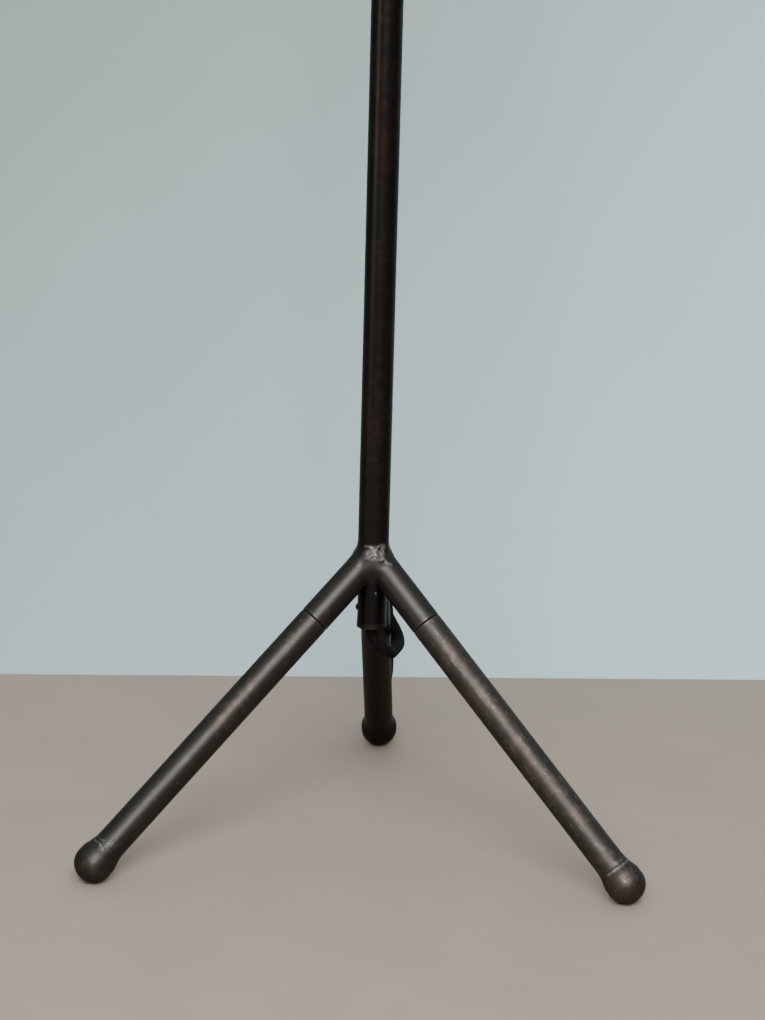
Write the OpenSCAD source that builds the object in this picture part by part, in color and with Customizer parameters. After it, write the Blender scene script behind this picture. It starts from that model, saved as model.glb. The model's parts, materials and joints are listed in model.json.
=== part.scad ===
// Tripod lamp stand: a steel pole brazed to three leg stubs, three screw-on legs with ball
// feet, a cord collar under the hub, and a lampholder on top. Millimetres, +Z up. The origin
// is on the table under the pole's axis, and the rear leg points along +Y.

/* [Tubes] */
// Outside diameter of the pole and of the legs
tube_d = 19; // [17:0.5:22]
// Wall of every tube
tube_wall = 1.5; // [1:0.25:2]
// Chamfer on the tube ends at each leg's seam
seam_chamfer = 0.5; // [0.2:0.1:0.8]

/* [Pole] */
// Length of the pole above the hub's centre
pole_l = 400; // [300:10:500]
// Length of the pole below the hub's centre, inside the leg stubs
pole_foot = 16; // [14:0.5:20]

/* [Legs] */
// Height of the hub's centre, where the axes of the pole and the legs meet
hub_z = 184; // [160:1:220]
// Angle between each leg and the pole's axis
leg_splay = 46.8; // [42:0.2:52]
// Length of each brazed stub from the hub's centre to the seam
stub_l = 54; // [48:1:70]
// Running gap at each seam
seam_gap = 0.3; // [0.1:0.1:0.6]
// Diameter of the ball feet
ball_d = 24; // [22:1:32]
// How far the braze ring stands out around the foot of each leg
foot_braze_t = 1.1; // [0.5:0.1:2]
// Length of the braze ring up each leg
foot_braze_l = 6; // [3:0.5:10]
// How far the hub's braze stands out around the pole
hub_braze_t = 1.3; // [0.6:0.1:2]
// Height of the hub's braze above the hub's centre
hub_braze_up = 8.5; // [6:0.5:12]

/* [Leg joints] */
// Outside diameter of the thread on each leg's stud
leg_thread_d = 10; // [8:1:12]
// Length of thread that stands out of each leg
stud_l = 15; // [10:1:20]
// Length of the turned plugs in the tube ends
plug_fit_l = 18; // [16:1:24]

/* [Cord collar] */
// Diameter of the collar
collar_d = 17.8; // [16.5:0.1:19]
// Wall of the collar
collar_wall = 2.2; // [1.5:0.1:3]
// Length of the collar
collar_l = 26; // [24:0.2:36]
// Height of the insulating lip at the collar's mouth
lip_h = 3.4; // [2:0.2:6]
// Length of the spigot inside the collar
spigot_in_collar = 10; // [8:0.5:12]
// Length of the spigot inside the pole
spigot_in_pole = 14; // [10:1:20]
// Length of the cord grip
grip_l = 10; // [8:0.5:10]
// Thread diameter of the two collar screws
collar_screw_d = 3; // [2:0.5:4]
// Head diameter of the collar screws
collar_head_d = 4; // [3.5:0.1:6]
// Head height of the collar screws
collar_head_h = 1.2; // [0.8:0.1:2]
// Height of the upper, fixing screw above the collar's mouth
fixing_screw_up = 22.4; // [21:0.2:24]
// Height of the lower, clamping screw above the collar's mouth
clamp_screw_up = 12; // [11.8:0.1:12.4]

/* [Flex] */
// Outside diameter of the mains flex
flex_d = 7; // [6:0.5:7.5]
// Diameter of each core
core_d = 2.4; // [2:0.1:2.6]
// Clearance around the flex where it passes through a piece
flex_gap = 0.2; // [0.1:0.1:0.4]

/* [Pole top] */
// Outside diameter of the threaded nipple
nipple_d = 10; // [9:0.5:11]
// Bore of the nipple
nipple_bore = 7.6; // [6.5:0.1:7.8]
// Length of the bush in the top of the pole
bush_l = 16; // [12:1:24]
// Length of nipple in the bush
nipple_in_bush = 13; // [8:1:16]
// Length of nipple in the lampholder
nipple_in_holder = 9; // [8:0.5:10]
// Diameter of the seating cap on the pole
cap_d = 24; // [22:1:32]
// Height of the seating cap
cap_h = 7; // [4:0.5:12]
// Width of the lock nut across its corners
nut_d = 15; // [13:0.5:18]
// Height of the lock nut
nut_h = 3; // [2:0.5:5]

/* [Lampholder] */
// Outside diameter of the lampholder's lower cup
cup_d = 37.2; // [36:0.2:38]
// Sheet thickness of the cup and the skirt
holder_wall = 1.2; // [1:0.1:1.3]
// Height of the cup
cup_h = 30; // [28:0.5:34]
// Height of the cup's threaded boss
boss_h = 5; // [4:0.5:7]
// Height of the cup's shoulder above its boss
shoulder_h = 8; // [7:0.5:9]
// How far the insulating core lies above the cup's boss
core_lift = 9; // [8.5:0.5:10]
// Diameter of the cup's threaded boss
boss_d = 16; // [14:0.5:18]
// Height of the skirt
skirt_h = 38; // [36:0.5:42]
// How far the skirt laps over the cup
skirt_lap = 6; // [4:0.5:7]
// Bore of the screw shell, at the root of its thread
shell_bore = 26.6; // [26.4:0.1:27]
// Sheet thickness of the screw shell
shell_wall = 0.6; // [0.4:0.1:0.8]
// Length of the screw shell's threaded wall
shell_l = 19; // [16:0.5:20]
// How far the screw shell's mouth lies below the skirt's rim
rim_drop = 3.1; // [2:0.1:5]
// Height of the well under the screw shell that holds the centre contact
well_h = 3.4; // [3:0.1:4]
// Width of the shade flange beyond the skirt
flange_w = 5; // [3:0.1:5]
// Thickness of the shade flange
flange_t = 1.5; // [1:0.1:2]
// Width of the shade ring's rim
ring_w = 7; // [5:0.1:8]
// Height of the shade ring
ring_h = 7; // [5:0.5:8]
// Diameter of the switch's push bar
bar_d = 5; // [4:0.2:5.4]
// Travel of the switch's push bar
bar_travel = 5; // [3:0.5:6]
// Diameter of the buttons on the push bar
button_d = 6.8; // [6:0.2:7]
// Length of each button
button_l = 3; // [2:0.5:5]

/* [Cord] */
// Number of sides of the cord's tube
cord_sides = 10; // [8:1:12]
// Radius of the coil's outer turns
coil_r = 43.5; // [40:0.5:46]
// Columns of turns in the coil
coil_columns = 3; // [2:1:3]
// Layers of turns in the coil
coil_layers = 2; // [2:1:4]
// Thickness of the tie around the coil
tie_t = 0.8; // [0.6:0.1:1.2]
// Width of the tie around the coil
tie_w = 9; // [5:1:14]

/* [Plug] */
// Length of the plug along its cord
plug_l = 51; // [48:1:56]
// Width of the plug
plug_w = 50; // [48:1:54]
// Radius of the plug's corners beside its cord
plug_nose_r = 8; // [5:0.5:10]
// Radius of the plug's corners beside its earth pin
plug_heel_r = 14; // [8:0.5:16]
// Width of the plug beside its cord
plug_nose_w = 38; // [34:0.5:42]
// Depth of the plug's cover
cover_h = 15; // [14:0.5:18]
// Thickness of the plug's base
base_h = 7; // [6:0.5:9]
// Wall of the plug's cover
cover_wall = 2; // [1.5:0.1:2.6]
// Distance from the plug's heel to the middle of its earth pin
earth_back = 13; // [12:0.5:14]
// Distance between the line and neutral pins
pin_spacing = 22.2; // [22.2:0.1:22.4]
// Thickness of every pin
pin_t = 4; // [3.9:0.1:4.1]
// Width of the line and neutral pins
pin_w = 6.4; // [6.3:0.1:6.5]
// Length of the line and neutral pins outside the plug
pin_l = 17.7; // [17.2:0.1:18.2]
// Width of the earth pin
earth_w = 8; // [7.8:0.1:8.1]
// Length of the earth pin outside the plug
earth_l = 22.7; // [22.2:0.1:23.2]
// Width of the plug's cord grip
grip_bar_w = 20; // [16:0.5:24]
// Thickness of the plug's cord grip
grip_bar_t = 3; // [2:0.2:3.6]
// Length of the plug's cord grip along the cord
grip_bar_l = 5; // [4:0.2:6]
// Diameter of the fuse
fuse_d = 6.3; // [6.2:0.1:6.4]
// Length of the fuse
fuse_l = 25.4; // [25:0.1:25.8]

/* [Clearances] */
// Radial clearance of a piece that is pressed or soldered into a tube
fit_gap = 0.05; // [0.02:0.01:0.08]
// Radial clearance of a thread
thread_gap = 0.08; // [0.04:0.01:0.1]
// Clearance between pieces that are laid in place
lay_gap = 0.2; // [0.1:0.05:0.3]
// Clearance between pieces that move past each other
move_gap = 0.3; // [0.25:0.05:0.4]

/* [Hidden] */
$fn = 64;

// Where each leg points, seen from above
LEFT = -150;
RIGHT = -30;
REAR = 90;
// Half of the sector that each stub is mitred to
SECTOR = 60;
// Larger than any piece that it cuts
FAR = 120;

tube_r = tube_d / 2;
bore_r = tube_r - tube_wall;
ball_r = ball_d / 2;
leg_l = (hub_z - ball_r) / cos(leg_splay);
// Where a leg tube's bore edge rests on the ball
leg_end = leg_l - sqrt(ball_r * ball_r - bore_r * bore_r) - fit_gap;
leg_start = stub_l + seam_gap;
pole_top = hub_z + pole_l;
pole_bottom = hub_z - pole_foot;
mouth_z = pole_bottom - collar_l - lip_h;
collar_bore_r = collar_d / 2 - collar_wall;
flex_hole_r = flex_d / 2 + flex_gap;
holder_z = pole_top + cap_h + nut_h;
cup_r = cup_d / 2;
skirt_r = cup_r + thread_gap + holder_wall;
skirt_z = holder_z + cup_h - skirt_lap;
flange_z = skirt_z + skirt_lap + 4;
core_z = holder_z + boss_h + core_lift;
bar_z = core_z + button_d / 2 + 2;
shell_z = skirt_z + skirt_h - rim_drop - shell_l - shell_wall;
well_z = shell_z - well_h;
shell_r = shell_bore / 2 + shell_wall;
core_r = cup_r - holder_wall - lay_gap;
rim_r = shell_r + lay_gap;
ring_z = flange_z + flange_t + move_gap;
contact_w = 5;
terminal_w = 5;
terminal_out = 8;

// The cord's route from the collar's mouth, behind the rear leg and down to the table
ROUTE = [
    [0, 0, mouth_z], [0, 0, 136.4], [1.6, 0.5, 131], [5.8, 2.4, 125.1], [10.3, 8.1, 119.9],
    [12.3, 17.9, 116.1], [13.7, 31, 114.1], [14.9, 45.4, 111.7], [15.6, 59.4, 109.3], [15.2, 71.8, 109.1],
    [13.1, 81.5, 111.5], [9.8, 87.5, 115.5], [6.2, 91, 121.5], [2.9, 93.4, 128.8], [0.5, 96.5, 135.7],
    [-1, 101, 141.1], [-1.3, 107.2, 144.1], [-0.8, 114.2, 144.1], [0.3, 120.8, 140.8], [2, 126.1, 134.1],
    [3.8, 129.9, 124.5], [5.3, 132.1, 112.9], [6.3, 132.9, 100.2], [6.5, 132.5, 87], [6.5, 139, 75],
    [6, 149, 62], [4, 162, 49], [1.5, 177, 37],
    [0, 190, 27], [-1, 200, 18], [-2, 209, 10], [-3, 220, 5], [-4, 233, 3.5], [-5, 250, 3.5],
    [-5.5, 275, 3.5], [-6.5, 305, 3.5], [-7, 340, 3.5], [-7, 366, 3.5]];
// The cord's route from the coil to the plug
TAIL = [[60, 433.5, 11.2], [70, 433.3, 11.1], [80, 432.2, 11], [90, 431, 11], [101, 431, 11]];
COIL_CENTRE = [36.5, 390];
PLUG_AT = [90, 431];
CORD_FILL = flex_d * coil_columns / 2;
coil_mid_r = coil_r + flex_d / 2 - CORD_FILL;
coil_h = flex_d * coil_layers;
TIE_TURN = 40;

function unit(v) = v / norm(v);

// A point on the smooth curve through four neighbouring route points
function blend(a, b, c, d, t) =
    0.5 * (2 * b + (c - a) * t + (2 * a - 5 * b + 4 * c - d) * t * t
           + (3 * b - a - 3 * c + d) * t * t * t);

// The route with one point added between each two
function smooth_route(p) = [
    for (i = [0 : len(p) - 2], t = [0, 0.5])
        blend(i == 0 ? 2 * p[0] - p[1] : p[i - 1], p[i], p[i + 1],
              i == len(p) - 2 ? 2 * p[i + 1] - p[i] : p[i + 2], t),
    p[len(p) - 1]];

// Sweeps a round section along a route. side is a direction that the route never takes
module sweep(route, d, side) {
    p = smooth_route(route);
    n = len(p);
    rings = [
        for (i = [0 : n - 1])
            let (along = unit(p[min(i + 1, n - 1)] - p[max(i - 1, 0)]),
                 across = unit(side - (side * along) * along),
                 up = cross(along, across))
            for (k = [0 : cord_sides - 1])
                let (turn = 360 * k / cord_sides)
                p[i] + d / 2 * (cos(turn) * across + sin(turn) * up)];
    walls = [
        for (i = [0 : n - 2], k = [0 : cord_sides - 1])
            let (k2 = (k + 1) % cord_sides)
            [i * cord_sides + k, (i + 1) * cord_sides + k,
             (i + 1) * cord_sides + k2, i * cord_sides + k2]];
    first = [for (k = [0 : cord_sides - 1]) k];
    last = [for (k = [cord_sides - 1 : -1 : 0]) (n - 1) * cord_sides + k];
    polyhedron(rings, concat(walls, [first, last]));
}

// Puts children on a leg's axis: +Z runs from the hub's centre down to the foot
module on_leg(azimuth)
    translate([0, 0, hub_z]) rotate([0, 0, azimuth]) rotate([0, 180 - leg_splay, 0]) children();

// A round wall between two radii and two heights
module ring(outer, inner, low, high)
    translate([0, 0, low]) difference() {
        cylinder(r = outer, h = high - low);
        translate([0, 0, -1]) cylinder(r = inner, h = high - low + 2);
    }

// A tube whose ends are chamfered outside by the two amounts
module tube(low, high, low_chamfer, high_chamfer)
    rotate_extrude() polygon([
        [bore_r, low], [tube_r - low_chamfer, low], [tube_r, low + low_chamfer],
        [tube_r, high - high_chamfer], [tube_r - high_chamfer, high], [bore_r, high]]);

module pole() color("#2b2724")
    ring(tube_r, bore_r, pole_bottom, pole_top);

module stub(azimuth) color("#3a3634")
    difference() {
        intersection() {
            on_leg(azimuth) tube(0, stub_l, 0, seam_chamfer);
            translate([0, 0, hub_z - FAR]) rotate([0, 0, azimuth]) linear_extrude(2 * FAR)
                polygon([[0, 0], [FAR, -FAR * tan(SECTOR)], [FAR, FAR * tan(SECTOR)]]);
        }
        translate([0, 0, hub_z - FAR]) cylinder(r = tube_r, h = 2 * FAR);
    }

module stub_left() stub(LEFT);
module stub_right() stub(RIGHT);
module stub_rear() stub(REAR);

// The braze that fills the corners between the pole and the stubs
module hub_braze() color("#6f6a64")
    difference() {
        translate([0, 0, hub_z]) rotate_extrude() polygon([
            [tube_r, -pole_foot], [tube_r + hub_braze_t, -pole_foot],
            [tube_r + hub_braze_t, hub_braze_up - 7], [tube_r + hub_braze_t / 2, hub_braze_up - 3],
            [tube_r, hub_braze_up]]);
        for (azimuth = [LEFT, RIGHT, REAR])
            on_leg(azimuth) cylinder(r = tube_r, h = stub_l);
    }

module stub_insert(azimuth) color("#8c8a86")
    on_leg(azimuth) difference() {
        translate([0, 0, stub_l - plug_fit_l]) cylinder(r = bore_r - fit_gap, h = plug_fit_l);
        translate([0, 0, stub_l - stud_l - 1]) cylinder(d = leg_thread_d, h = stud_l + 2);
    }

module stub_insert_left() stub_insert(LEFT);
module stub_insert_right() stub_insert(RIGHT);
module stub_insert_rear() stub_insert(REAR);

module leg(azimuth) color("#332c28")
    on_leg(azimuth) tube(leg_start, leg_end, seam_chamfer, 0);

module leg_left() leg(LEFT);
module leg_right() leg(RIGHT);
module leg_rear() leg(REAR);

module leg_stud(azimuth) color("#8c8a86")
    on_leg(azimuth) {
        translate([0, 0, leg_start]) cylinder(r = bore_r - fit_gap, h = plug_fit_l);
        translate([0, 0, leg_start - stud_l]) cylinder(d = leg_thread_d - 2 * thread_gap, h = stud_l + 1);
    }

module leg_stud_left() leg_stud(LEFT);
module leg_stud_right() leg_stud(RIGHT);
module leg_stud_rear() leg_stud(REAR);

module foot_ball(azimuth) color("#2e2b29")
    on_leg(azimuth) translate([0, 0, leg_l]) sphere(r = ball_r);

module foot_ball_left() foot_ball(LEFT);
module foot_ball_right() foot_ball(RIGHT);
module foot_ball_rear() foot_ball(REAR);

// A ring of braze in the corner between a leg and its ball
module foot_braze(azimuth) color("#6f6a64")
    on_leg(azimuth) difference() {
        rotate_extrude() polygon([
            [tube_r, leg_end - foot_braze_l], [tube_r + foot_braze_t, leg_end - 1],
            [tube_r + foot_braze_t, leg_end + 2], [bore_r + fit_gap, leg_end + 2],
            [bore_r + fit_gap, leg_end], [tube_r, leg_end]]);
        translate([0, 0, leg_l]) sphere(r = ball_r);
    }

module foot_braze_left() foot_braze(LEFT);
module foot_braze_right() foot_braze(RIGHT);
module foot_braze_rear() foot_braze(REAR);

// A screw on the collar. Its head stands on the collar's wall and its tip points inwards
module collar_screw(turn, up, tip_r)
    translate([0, 0, mouth_z + up]) rotate([0, 90, turn]) {
        translate([0, 0, tip_r]) cylinder(d = collar_screw_d - 2 * thread_gap, h = collar_d / 2 - tip_r);
        translate([0, 0, collar_d / 2]) cylinder(d = collar_head_d, h = collar_head_h);
    }

module collar_screw_hole(turn, up)
    translate([0, 0, mouth_z + up]) rotate([0, 90, turn]) cylinder(d = collar_screw_d, h = collar_d);

FIXING_TURN = -72;
CLAMP_TURN = 180;
grip_z = mouth_z + clamp_screw_up - grip_l / 2;
grip_r = collar_bore_r - lay_gap;

module collar_spigot() color("#8c8a86")
    difference() {
        union() {
            ring(bore_r - fit_gap, flex_hole_r, pole_bottom, pole_bottom + spigot_in_pole);
            ring(collar_bore_r - fit_gap, flex_hole_r, pole_bottom - spigot_in_collar, pole_bottom + 1);
        }
        collar_screw_hole(FIXING_TURN, fixing_screw_up);
    }

module cord_collar() color("#1d1c1b")
    difference() {
        ring(collar_d / 2, collar_bore_r, mouth_z + lip_h, pole_bottom);
        collar_screw_hole(FIXING_TURN, fixing_screw_up);
        collar_screw_hole(CLAMP_TURN, clamp_screw_up);
    }

module collar_lip() color("#161514") {
    ring(collar_d / 2 + 0.2, flex_hole_r, mouth_z, mouth_z + lip_h);
    ring(collar_bore_r - fit_gap, flex_hole_r, mouth_z + lip_h - 1, mouth_z + lip_h + 3);
}

module cord_grip() color("#d9d4c8")
    difference() {
        ring(grip_r, flex_hole_r, grip_z, grip_z + grip_l);
        translate([0, -1, grip_z - 1]) cube([collar_d, 2, grip_l + 2]);
    }

module collar_screws() color("#9a9894") {
    collar_screw(FIXING_TURN, fixing_screw_up, flex_hole_r + lay_gap);
    collar_screw(CLAMP_TURN, clamp_screw_up, grip_r);
}

sheath_top = pole_top - bush_l - 2;

module flex_in_pole() color("#1a1918")
    translate([0, 0, mouth_z]) cylinder(d = flex_d, h = sheath_top - mouth_z);

core_turn = [90, 270, 0];
core_r_in_nipple = nipple_bore / 2 - core_d / 2 - lay_gap;
core_top = holder_z + nipple_in_holder + core_d;

module flex_cores() color("#5b4636")
    for (turn = core_turn)
        rotate([0, 0, turn]) {
            translate([core_r_in_nipple, 0, sheath_top]) cylinder(d = core_d, h = core_top - sheath_top);
            translate([core_r_in_nipple, 0, core_top]) sphere(d = core_d);
            translate([core_r_in_nipple, 0, core_top]) rotate([0, 90, 0])
                cylinder(d = core_d, h = terminal_out - terminal_w / 2 - core_r_in_nipple);
        }

module pole_bush() color("#8c8a86")
    ring(bore_r - fit_gap, nipple_d / 2, pole_top - bush_l, pole_top);

module seating_cap() color("#2b2724")
    translate([0, 0, pole_top]) rotate_extrude() polygon([
        [nipple_d / 2, 0], [cap_d / 2 - 0.6, 0], [cap_d / 2, 0.6], [cap_d / 2, 2.2],
        [nut_d / 2 + 1, cap_h - 0.6], [nut_d / 2, cap_h], [nipple_d / 2, cap_h]]);

module nipple() color("#b39a5c")
    ring(nipple_d / 2 - thread_gap, nipple_bore / 2, pole_top - nipple_in_bush, holder_z + nipple_in_holder);

module lock_nut() color("#b39a5c")
    translate([0, 0, pole_top + cap_h]) difference() {
        cylinder(d = nut_d, h = nut_h, $fn = 6);
        translate([0, 0, -1]) cylinder(d = nipple_d, h = nut_h + 2);
    }

module bar_hole(d)
    translate([-cup_d, 0, bar_z]) rotate([0, 90, 0]) cylinder(d = d, h = 2 * cup_d);

module holder_cup() color("#3b332b")
    difference() {
        translate([0, 0, holder_z]) rotate_extrude() polygon([
            [nipple_d / 2, 0], [boss_d / 2, 0], [boss_d / 2, boss_h], [boss_d / 2 + 4, boss_h + 2],
            [cup_r - 1.6, boss_h + 4.5], [cup_r, boss_h + shoulder_h], [cup_r, cup_h],
            [cup_r - holder_wall, cup_h], [cup_r - holder_wall, boss_h + shoulder_h + 0.4],
            [cup_r - 2.4, boss_h + 5.7], [boss_d / 2 + 3.6, boss_h + 3.2],
            [boss_d / 2 - 1, boss_h + 1.5], [nipple_d / 2, boss_h + 1.5]]);
        bar_hole(bar_d + 2 * thread_gap);
    }

module holder_core() color("#ded8cb")
    difference() {
        translate([0, 0, core_z]) cylinder(r = core_r, h = well_z + well_h - core_z);
        translate([0, 0, well_z]) cylinder(d = shell_bore - 8, h = well_h + 1);
        bar_hole(bar_d + 2 * thread_gap);
    }

module screw_shell() color("#c2a45a") {
    ring(shell_r, shell_bore / 2, shell_z, shell_z + shell_wall + shell_l);
    ring(shell_r - shell_wall / 2, shell_bore / 2 - 4, shell_z, shell_z + shell_wall);
}

module centre_contact() color("#c2a45a")
    translate([0, contact_w / 2, well_z]) rotate([90, 0, 0]) linear_extrude(contact_w) polygon([
        [-8, 0], [-4, 0], [1, well_h - 1], [4, well_h - 1], [4, well_h - 0.4],
        [0.8, well_h - 0.4], [-4.2, 0.6], [-8, 0.6]]);

terminal_h = core_z - holder_z - boss_h - 4;

module terminals() color("#c2a45a")
    for (turn = core_turn)
        rotate([0, 0, turn]) translate([terminal_out, 0, core_z - terminal_h / 2])
            cube([terminal_w, terminal_w, terminal_h], center = true);

module terminal_screws() color("#9a9894")
    for (turn = core_turn)
        rotate([0, 0, turn]) translate([terminal_out + terminal_w / 2, 0, core_z - terminal_h / 2])
            rotate([0, 90, 0]) cylinder(d = 2.6, h = 1.2);

module holder_skirt() color("#3b332b")
    rotate_extrude() polygon([
        [skirt_r - holder_wall, skirt_z], [skirt_r, skirt_z], [skirt_r, flange_z],
        [skirt_r + flange_w, flange_z], [skirt_r + flange_w, flange_z + flange_t],
        [skirt_r, flange_z + flange_t], [skirt_r, ring_z + ring_h + 1],
        [skirt_r - 0.4, ring_z + ring_h + 1], [skirt_r - 0.4, ring_z + ring_h + 2],
        [skirt_r, ring_z + ring_h + 2], [skirt_r, skirt_z + skirt_h],
        [rim_r, skirt_z + skirt_h], [rim_r, skirt_z + skirt_h - holder_wall],
        [skirt_r - holder_wall, skirt_z + skirt_h - holder_wall]]);

module shade_ring() color("#3b332b")
    translate([0, 0, ring_z]) rotate_extrude() polygon([
        [skirt_r + thread_gap, 0], [skirt_r + ring_w, 0], [skirt_r + ring_w, 2.6],
        [skirt_r + 2.4, 3.2], [skirt_r + 2.4, ring_h], [skirt_r + thread_gap, ring_h]]);

module switch_bar() color("#1d1c1b")
    translate([bar_travel / 2, 0, bar_z]) rotate([0, 90, 0]) {
        bar_half = cup_r + move_gap + bar_travel / 2;
        translate([0, 0, -bar_half]) cylinder(d = bar_d, h = 2 * bar_half);
        for (side = [-1, 1])
            translate([0, 0, side * (bar_half + button_l / 2)])
                cylinder(d = button_d, h = button_l, center = true);
    }

module cord() color("#1a1918")
    sweep(ROUTE, flex_d, [1, 0, 0]);

module cord_tail() color("#1a1918")
    sweep(TAIL, flex_d, [0, 0, 1]);

// The outer shape of the coil's turns, or of the tie around them when grown
module coil_section(grow)
    translate([coil_mid_r - CORD_FILL - grow, tie_t - grow])
        square([2 * CORD_FILL + 2 * grow, coil_h + 2 * grow]);

module cord_coil() color("#1a1918")
    translate([COIL_CENTRE[0], COIL_CENTRE[1], 0]) rotate_extrude() coil_section(0);

module cord_tie() color("#4a4844")
    translate([COIL_CENTRE[0], COIL_CENTRE[1], 0]) rotate([0, 0, TIE_TURN])
        difference() {
            translate([coil_mid_r - CORD_FILL - tie_t - 1, -tie_w / 2, 0])
                cube([2 * CORD_FILL + 2 * tie_t + 2, tie_w, coil_h + 2 * tie_t]);
            rotate_extrude() coil_section(0);
            cylinder(r = coil_mid_r - CORD_FILL - tie_t, h = FAR, center = true);
            difference() {
                cylinder(r = FAR, h = FAR, center = true);
                cylinder(r = coil_mid_r + CORD_FILL + tie_t, h = FAR, center = true);
            }
        }

// The plug's outline from above, shrunk by inset
module plug_outline(inset)
    hull() {
        for (side = [-1, 1]) {
            translate([plug_nose_r, side * (plug_nose_w / 2 - plug_nose_r)])
                circle(r = plug_nose_r - inset, $fn = 32);
            translate([plug_l - plug_heel_r, side * (plug_w / 2 - plug_heel_r)])
                circle(r = plug_heel_r - inset, $fn = 32);
        }
    }

module plug_at() translate([PLUG_AT[0], PLUG_AT[1], 0]) children();

earth_x = plug_l - earth_back;
pins_x = earth_x - pin_spacing;
terminal_depth = 8;
cord_in_plug_z = 11;

module plug_cover() color("#1b1b1b")
    plug_at() difference() {
        linear_extrude(cover_h) plug_outline(0);
        translate([0, 0, cover_wall]) linear_extrude(cover_h) plug_outline(cover_wall);
        translate([-1, 0, cord_in_plug_z]) rotate([0, 90, 0]) cylinder(r = flex_hole_r, h = 8);
        translate([0, 0, cord_in_plug_z]) translate([-1, -flex_hole_r, 0]) cube([8, 2 * flex_hole_r, cover_h]);
        translate([(pins_x + earth_x) / 2, 0, -1]) cylinder(d = 3.4, h = cover_wall + 2);
    }

module plug_base() color("#1b1b1b")
    plug_at() translate([0, 0, cover_h]) difference() {
        linear_extrude(base_h) plug_outline(0);
        for (side = [-1, 1])
            translate([pins_x, side * pin_spacing / 2, 0])
                cube([pin_t, pin_w, 3 * base_h], center = true);
        translate([earth_x, 0, 0]) cube([earth_w, pin_t, 3 * base_h], center = true);
    }

// A pin with its terminal block inside the cover
module pin(x, y, wide_x, wide_y, length, block) color("#c2a45a")
    plug_at() translate([x, y, 0]) {
        translate([0, 0, cover_h + (base_h + length) / 2])
            cube([wide_x, wide_y, base_h + length], center = true);
        translate([0, 0, cover_h - terminal_depth / 2])
            cube([block, block, terminal_depth], center = true);
    }

module earth_pin() pin(earth_x, 0, earth_w, pin_t, earth_l, 8);
module line_pin() pin(pins_x, -pin_spacing / 2, pin_t, pin_w, pin_l, 7);
module neutral_pin() pin(pins_x, pin_spacing / 2, pin_t, pin_w, pin_l, 7);

module plug_fuse() color("#cfc8b8")
    plug_at() translate([pins_x + 3.5 + lay_gap, -pin_spacing / 2 - 0.5, cover_h - terminal_depth / 2])
        rotate([0, 90, 0]) cylinder(d = fuse_d, h = fuse_l - 6);

grip_bar_x = cover_wall + lay_gap + grip_bar_l / 2;

module plug_cord_grip() color("#d9d4c8")
    plug_at() translate([grip_bar_x, 0, cord_in_plug_z - flex_d / 2 - grip_bar_t / 2])
        cube([grip_bar_l, grip_bar_w, grip_bar_t], center = true);

module plug_grip_screws() color("#9a9894")
    for (side = [-1, 1])
        plug_at() translate([grip_bar_x, side * (grip_bar_w / 2 - 3), cord_in_plug_z - flex_d / 2])
            cylinder(d = 3, h = cover_h - cord_in_plug_z + flex_d / 2);

module plug_cover_screw() color("#9a9894")
    plug_at() translate([(pins_x + earth_x) / 2, 0, 0.4])
        cylinder(d = 3.4 - 2 * lay_gap, h = cover_h - 0.4);

pole();
stub_left();
stub_right();
stub_rear();
hub_braze();
stub_insert_left();
stub_insert_right();
stub_insert_rear();
leg_left();
leg_right();
leg_rear();
leg_stud_left();
leg_stud_right();
leg_stud_rear();
foot_ball_left();
foot_ball_right();
foot_ball_rear();
foot_braze_left();
foot_braze_right();
foot_braze_rear();
collar_spigot();
cord_collar();
collar_lip();
cord_grip();
collar_screws();
flex_in_pole();
flex_cores();
pole_bush();
seating_cap();
nipple();
lock_nut();
holder_cup();
holder_core();
holder_skirt();
screw_shell();
centre_contact();
terminals();
terminal_screws();
shade_ring();
switch_bar();
cord();
cord_coil();
cord_tail();
cord_tie();
plug_cover();
plug_base();
earth_pin();
line_pin();
neutral_pin();
plug_fuse();
plug_cord_grip();
plug_grip_screws();
plug_cover_screw();
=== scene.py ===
"""Dresses the tripod lamp stand: patinated steel, braze, textile flex, plug and lampholder.

Run as a script. Each piece, or group of like pieces, has an operator of its own, and the
panel "Lamp stand" in the 3D view's sidebar lists them.
"""

import json
import math

import bmesh
import bpy
import numpy as np
from bpy.props import FloatProperty, FloatVectorProperty, IntProperty, PointerProperty
from mathutils import Matrix, Vector, noise


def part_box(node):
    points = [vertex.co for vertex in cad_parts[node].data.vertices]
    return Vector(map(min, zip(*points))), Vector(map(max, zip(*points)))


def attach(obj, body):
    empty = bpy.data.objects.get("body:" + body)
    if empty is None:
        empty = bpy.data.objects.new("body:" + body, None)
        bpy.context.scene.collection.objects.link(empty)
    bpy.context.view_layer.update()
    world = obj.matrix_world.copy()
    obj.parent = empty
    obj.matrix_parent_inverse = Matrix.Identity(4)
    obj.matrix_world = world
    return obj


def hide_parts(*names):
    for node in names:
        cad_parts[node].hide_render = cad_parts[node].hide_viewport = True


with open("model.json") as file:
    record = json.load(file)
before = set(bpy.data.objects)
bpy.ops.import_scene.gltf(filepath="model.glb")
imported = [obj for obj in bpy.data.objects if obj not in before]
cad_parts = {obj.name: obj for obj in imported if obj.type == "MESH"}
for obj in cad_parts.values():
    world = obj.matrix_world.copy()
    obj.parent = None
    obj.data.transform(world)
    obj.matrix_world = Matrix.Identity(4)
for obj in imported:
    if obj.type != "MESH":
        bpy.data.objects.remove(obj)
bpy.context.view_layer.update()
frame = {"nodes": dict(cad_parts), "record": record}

bl_info = {
    "name": "Tripod lamp stand",
    "version": (1, 0, 0),
    "blender": (4, 5, 0),
    "location": "View3D > Sidebar > Lamp stand",
    "description": "Finishes and soft pieces of a steel tripod lamp stand",
    "category": "Object",
}

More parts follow.
